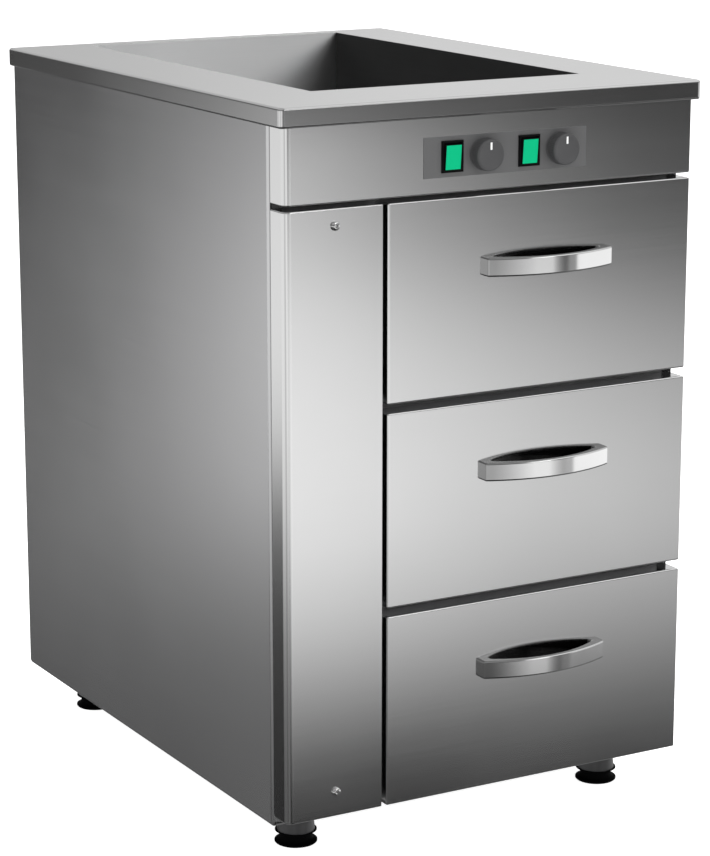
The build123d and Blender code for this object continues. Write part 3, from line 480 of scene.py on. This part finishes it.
def make_rib_tree():
    """Thin upright ribs round a ring, the ring's axis turned to face the front."""
    tree, inputs, outputs = new_tree("knob_ribs", knob_grip)
    ring = add_node(tree, "GeometryNodeMeshCircle", [("Radius", inputs["Ring Radius"])], Vertices=knob_ribs)
    rib = add_node(
        tree,
        "GeometryNodeMeshCylinder",
        [("Radius", inputs["Rib Radius"]), ("Depth", inputs["Rib Length"])],
        Vertices=8,
    )
    ribs = add_node(
        tree,
        "GeometryNodeInstanceOnPoints",
        [("Points", ring.outputs["Mesh"]), ("Instance", rib.outputs["Mesh"])],
    )
    place_and_finish(tree, inputs, outputs, ribs.outputs["Instances"], (math.pi / 2, 0, 0))
    return tree


def rounded_bar(name, centre, size, bevel):
    """A small bar with rounded edges."""
    mesh = bmesh.new()
    bmesh.ops.create_cube(mesh, size=1.0)
    bmesh.ops.scale(mesh, vec=size, verts=mesh.verts)
    bmesh.ops.bevel(mesh, geom=mesh.edges[:], offset=bevel, segments=3, profile=0.5, affect="EDGES")
    bmesh.ops.translate(mesh, vec=centre, verts=mesh.verts)
    data = bpy.data.meshes.new(name)
    mesh.to_mesh(data)
    mesh.free()
    data.shade_smooth()
    piece = bpy.data.objects.new(name, data)
    bpy.context.scene.collection.objects.link(piece)
    return piece


rib_tree = make_rib_tree()
for control in controls:
    low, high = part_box(f"{control}_knob")
    knob_x, knob_z = (low[0] + high[0]) / 2, (low[2] + high[2]) / 2
    front_y, back_y = low[1], high[1]
    rim = (high[0] - low[0]) / 2
    grip = rim - 2 * rib_proud
    profile = [(0, back_y), (rim - skirt_round, back_y), (rim, back_y - skirt_round)]
    profile += [(rim, back_y - skirt_height), (grip, back_y - skirt_height - skirt_slope)]
    profile += [(grip - inwards, front_y + deeper) for inwards, deeper in edge_rounding]
    dish_y = front_y + dish_depth
    profile += [(grip - lip_inset, front_y), (grip - dish_inset, dish_y), (0, dish_y)]
    body = lathe(f"{control}_knob_body", knob_x, knob_z, profile, knob_ring_segments)
    body.data.materials.append(knob_grey)
    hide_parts(f"{control}_knob")
    rib_length = back_y - front_y - rib_ends
    grip_sizes = {**knob_grip, "Ring Radius": grip - rib_sink, "Rib Length": rib_length}
    middle = (knob_x, (front_y + back_y) / 2, knob_z)
    ribs = grow(f"{control}_knob_ribs", rib_tree, [middle], grip_sizes, knob_grey)
    bar_z = knob_z + rim - pointer_inset - pointer_size[2] / 2
    bar_y = front_y + pointer_size[1] / 2 + pointer_sink
    pointer = rounded_bar(f"{control}_knob_pointer", (knob_x, bar_y, bar_z), pointer_size, pointer_bevel)
    pointer.data.materials.append(pointer_white)
    for piece in (body, ribs, pointer):
        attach(piece, f"{control}_dial")
dress([f"{control}_{piece}" for control in controls for piece in ("thermostat", "spindle")], mill_steel)

# Mains connection, heaters and wool: a ceramic terminal block on the side panel, a moulded gland
# in the base, sheathed heating elements and a mat of mineral wool. All are out of sight.
dress(["terminal_block"], moulded("block_white", (0.70, 0.68, 0.62), 0.5))
dress(["cable_gland"], moulded("gland_black", (0.012, 0.012, 0.013), 0.5))
heater_metal = steel("heater_metal", (0.16, 0.15, 0.145), 0.5, (90, 90, 90), line_depth=0.08, line_tone=0.25)
dress(["tank_heater", "drawer_heater"], heater_metal)
wool = moulded("wool", (0.55, 0.50, 0.36), 0.95, speckle=0.35, texture_scale=300.0, depth=0.9)
dress(["tank_insulation"], wool)

# Feet and collars: conical steel collars welded under the base take the threaded stems of the
# levelling feet, which are moulded in black plastic.
corners = ("front_left", "front_right", "back_left", "back_right")
# Painted shade: the collars' steel is coloured near black, as shade under the base.
collar_steel = steel("collar_steel", (0.07, 0.07, 0.071), 0.40, (300, 300, 300), cloud_scale=20.0)
collar_steel.node_tree.nodes["Principled BSDF"].inputs["Metallic"].default_value = 0.7
dress(["foot_collars"], collar_steel)
foot_black = moulded("foot_black", (0.002, 0.002, 0.0022), 0.7, sheen=0.03)
dress([f"{corner}_foot" for corner in corners], foot_black)

# Stage: a pale floor, a soft studio all round and the camera at the photograph's viewing angle.
# The floor is kept out of the steel's reflections, which the studio's own gradients give.
camera_place = Vector((-1.6449, -2.9186, 1.2043))
camera_azimuth = math.radians(29.674)
camera_elevation = math.radians(13.397)
focal_pixels = 2820.5
image_width = 710
sensor_width = 36.0

floor_half = 12.0
floor_signs = ((-1, -1), (1, -1), (1, 1), (-1, 1))
floor_mesh = bpy.data.meshes.new("floor")
floor_mesh.from_pydata([(x * floor_half, y * floor_half, 0) for x, y in floor_signs], [], [(0, 1, 2, 3)])
floor = bpy.data.objects.new("floor", floor_mesh)
bpy.context.scene.collection.objects.link(floor)
floor_paint = bpy.data.materials.new("floor_paint")
floor_paint.use_nodes = True
floor_surface = floor_paint.node_tree.nodes["Principled BSDF"]
floor_surface.inputs["Base Color"].default_value = (0.9, 0.9, 0.9, 1)
floor_surface.inputs["Roughness"].default_value = 0.9
floor_surface.inputs["Emission Color"].default_value = (1, 1, 1, 1)
floor_surface.inputs["Emission Strength"].default_value = 0.95
floor_mesh.materials.append(floor_paint)
floor.visible_glossy = False

world = bpy.data.worlds.new("studio")
world.use_nodes = True
bpy.context.scene.world = world
sky = world.node_tree
degree = math.degrees(1)


def sky_ramp(value, low, high, stops):
    """A studio light level over an angle, eased between a few stops."""
    share = add_node(sky, "ShaderNodeMapRange", [("Value", value)], From_Min=low, From_Max=high)
    ramp = add_node(sky, "ShaderNodeValToRGB", [("Fac", share.outputs["Result"])])
    ramp.color_ramp.interpolation = "CARDINAL"
    marks = ramp.color_ramp.elements
    while len(marks) < len(stops):
        marks.new(0.5)
    for mark, (angle, level) in zip(marks, stops):
        mark.position = (angle - low) / (high - low)
        mark.color = (level / 2, level / 2, level / 2, 1)
    return math_node(sky, "MAXIMUM", math_node(sky, "MULTIPLY", ramp.outputs["Color"], 2.0), 0.0)


def sky_step(value, low, high, first, second):
    """A level that eases from the first to the second between two angles."""
    step = add_node(
        sky,
        "ShaderNodeMapRange",
        [("Value", value)],
        interpolation_type="SMOOTHSTEP",
        From_Min=low,
        From_Max=high,
        To_Min=first,
        To_Max=second,
    )
    return step.outputs["Result"]


def sky_mix(share, first, second):
    """One level turning into another as the share goes from 0 to 1."""
    mix = add_node(sky, "ShaderNodeMix", data_type="FLOAT")
    floats = [socket for socket in mix.inputs if socket.type == "VALUE"]
    for socket, value in zip(floats, (share, first, second)):
        if isinstance(value, (int, float)):
            socket.default_value = value
        else:
            sky.links.new(value, socket)
    return [socket for socket in mix.outputs if socket.type == "VALUE"][0]


direction = add_node(sky, "ShaderNodeTexCoord")
parts = add_node(sky, "ShaderNodeSeparateXYZ", [("Vector", direction.outputs["Generated"])])
turned = math_node(sky, "MULTIPLY", parts.outputs["Y"], -1.0)
azimuth = math_node(sky, "MULTIPLY", math_node(sky, "ARCTAN2", parts.outputs["X"], turned), degree)
elevation = math_node(sky, "MULTIPLY", math_node(sky, "ARCSINE", parts.outputs["Z"]), degree)


def by_elevation(stops):
    """A light level over the angles below the horizon."""
    return sky_ramp(elevation, -24, 0, stops)


def by_azimuth(stops):
    """A light level over the angles to the left of straight ahead."""
    return sky_ramp(azimuth, -180, 0, stops)


def product(*levels):
    """Several levels multiplied together."""
    whole = levels[0]
    for level in levels[1:]:
        whole = math_node(sky, "MULTIPLY", whole, level)
    return whole


# Front card, seen by the fronts: bright in its middle, fading upwards and to the right
front_levels = [(-22.0, 0.02), (-20.1, 0.048), (-18.9, 0.41), (-17.9, 0.87), (-16.0, 1.24), (-13.5, 1.27)]
front_levels += [(-10.8, 1.13), (-9.6, 0.91), (-8.1, 0.82), (-7.4, 1.28), (-6.9, 0.12), (-6.0, 0.08)]
fade_levels = [(-20.0, 0.12), (-18.6, 0.18), (-17.9, 0.135), (-15.5, 0.072)]
fade_levels += [(-13.5, 0.070), (-10.8, 0.126), (-9.6, 0.23), (-8.0, 0.285)]
left_shares = [(-20.0, 0.35), (-17.9, 0.20), (-16.5, 0.48), (-15.3, 0.68), (-13.5, 0.82)]
left_shares += [(-10.8, 0.88), (-9.0, 0.70), (-8.0, 0.52), (-6.0, 0.50)]
beyond = math_node(sky, "MAXIMUM", math_node(sky, "SUBTRACT", azimuth, 28.0), 0.0)
fade = math_node(sky, "EXPONENT", product(beyond, by_elevation(fade_levels), -1.0))
left_share = sky_mix(sky_step(azimuth, -20.0, 20.0, 0.0, 1.0), by_elevation(left_shares), 1.0)
front_light = product(by_elevation(front_levels), fade, left_share)
front_light = math_node(sky, "ADD", front_light, sky_step(elevation, -7.1, -6.6, 0.0, 0.03))

# Right card, which the handles catch on their right-hand third
right_levels = [(-19.0, 0.2), (-17.9, 0.4), (-14.5, 1.4), (-8.0, 1.25), (0.0, 1.1)]
bridge_levels = [(-20.0, 0.15), (-18.0, 0.27), (-13.9, 0.70), (-9.9, 0.40), (-8.0, 0.35)]
front_right = sky_mix(sky_step(azimuth, 38.0, 43.0, 0.0, 1.0), front_light, by_elevation(bridge_levels))
front_right = sky_mix(sky_step(azimuth, 47.0, 50.0, 0.0, 1.0), front_right, by_elevation(right_levels))

# Left card, seen by the side panel
left_levels = [(-20.0, 0.20), (-17.3, 0.33), (-15.3, 0.82), (-14.4, 1.08)]
left_levels += [(-10.8, 1.13), (-7.35, 0.74), (-5.5, 0.5), (0.0, 0.4)]
left_sides = [(-158.5, 0.055), (-156.7, 0.095), (-154.9, 0.138), (-153.7, 0.285)]
left_sides += [(-152.3, 0.83), (-150.0, 1.10), (-146.0, 1.1)]
low_fills = [(-20.0, 0.03), (-18.7, 0.05), (-17.3, 0.058), (-15.9, 0.079)]
low_fills += [(-14.4, 0.06), (-13.0, 0.03), (-11.6, 0.0)]
left_light = product(by_elevation(left_levels), by_azimuth(left_sides))
left_light = math_node(sky, "ADD", left_light, sky_step(elevation, -18.0, -15.0, 0.045, 0.0))
low_fill = product(by_elevation(low_fills), sky_step(azimuth, -155.0, -152.0, 1.0, 0.0))
left_light = math_node(sky, "ADD", left_light, low_fill)

# Cards at the left, seen by the fronts' folded sides and by the folds themselves
strip_levels = [(-20.1, 0.027), (-17.9, 0.040), (-16.5, 0.085), (-15.3, 0.20), (-14.4, 0.52), (-13.5, 0.85)]
strip_levels += [(-12.2, 1.0), (-10.8, 1.02), (-8.0, 0.95), (0.0, 0.9)]
fold_levels = [(-20.1, 0.12), (-17.9, 0.25), (-16.5, 0.55), (-15.3, 0.85)]
fold_levels += [(-13.5, 1.1), (-10.8, 1.08), (-8.0, 1.02), (0.0, 0.9)]
fold_dips = [(-100.0, 1.0), (-76.0, 0.95), (-62.0, 0.66), (-50.0, 0.95), (-42.0, 1.05)]
fold_card = product(by_elevation(fold_levels), by_azimuth(fold_dips))
side_light = sky_mix(sky_step(azimuth, -149.5, -146.0, 0.0, 1.0), left_light, by_elevation(strip_levels))
side_light = sky_mix(sky_step(azimuth, -132.0, -118.0, 0.0, 1.0), side_light, fold_card)
low_light = sky_mix(sky_step(azimuth, -34.0, -18.0, 0.0, 1.0), side_light, front_right)
low_light = sky_mix(sky_step(azimuth, 115.0, 150.0, 0.0, 1.0), low_light, 0.3)

# Ceiling, seen by the worktop and by every upper edge, with a brighter window that lights the well
window_band = product(sky_step(elevation, 6.0, 11.0, 0.0, 1.0), sky_step(elevation, 18.0, 25.0, 1.0, 0.0))
window_band = product(window_band, sky_step(azimuth, 8.0, 16.0, 0.0, 1.0))
window_light = sky_mix(window_band, 0.30, 4.5)
front_ceiling = sky_step(elevation, 6.0, 24.0, 0.2, 1.1)
front_ceiling = sky_mix(sky_step(azimuth, 27.5, 31.0, 1.0, 0.0), front_ceiling, window_light)
right_ceiling = sky_step(azimuth, 148.0, 157.0, 0.79, 0.60)
back_ceiling = sky_mix(sky_step(azimuth, 0.0, 1.0, 0.0, 1.0), 0.60, right_ceiling)
back_ceiling = product(back_ceiling, sky_step(elevation, 4.8, 6.4, 0.86, 1.0))
left_ceiling = sky_step(elevation, 10.0, 24.0, 0.08, 0.50)
low_ceiling = sky_mix(sky_step(azimuth, -162.0, -154.0, 0.0, 1.0), back_ceiling, left_ceiling)
low_ceiling = sky_mix(sky_step(azimuth, -15.0, 10.0, 0.0, 1.0), low_ceiling, front_ceiling)
low_ceiling = sky_mix(sky_step(azimuth, 80.0, 125.0, 0.0, 1.0), low_ceiling, back_ceiling)
ceiling = sky_mix(sky_step(elevation, 45.0, 80.0, 0.0, 1.0), low_ceiling, 0.5)
whole_light = sky_mix(sky_step(elevation, 0.0, 4.0, 0.0, 1.0), low_light, ceiling)
seen = add_node(sky, "ShaderNodeLightPath")
backdrop = sky_mix(seen.outputs["Is Camera Ray"], whole_light, 1.0)
sky.links.new(backdrop, sky.nodes["Background"].inputs["Color"])

lamp_data = bpy.data.lights.new("top_softbox", "AREA")
lamp_data.shape = "RECTANGLE"
lamp_data.size = 4.0
lamp_data.size_y = 4.0
lamp_data.energy = 90
lamp = bpy.data.objects.new("top_softbox", lamp_data)
lamp.location = (-0.4, -0.6, 3.4)
lamp.visible_glossy = False
bpy.context.scene.collection.objects.link(lamp)

camera_data = bpy.data.cameras.new("camera")
camera_data.sensor_fit = "HORIZONTAL"
camera_data.sensor_width = sensor_width
camera_data.lens = focal_pixels / image_width * sensor_width
camera = bpy.data.objects.new("camera", camera_data)
camera.location = camera_place
forward = Vector((
    math.sin(camera_azimuth) * math.cos(camera_elevation),
    math.cos(camera_azimuth) * math.cos(camera_elevation),
    -math.sin(camera_elevation),
))
camera.rotation_euler = forward.to_track_quat("-Z", "Y").to_euler()
bpy.context.scene.collection.objects.link(camera)
bpy.context.scene.camera = camera
bpy.context.scene.view_settings.view_transform = "Standard"
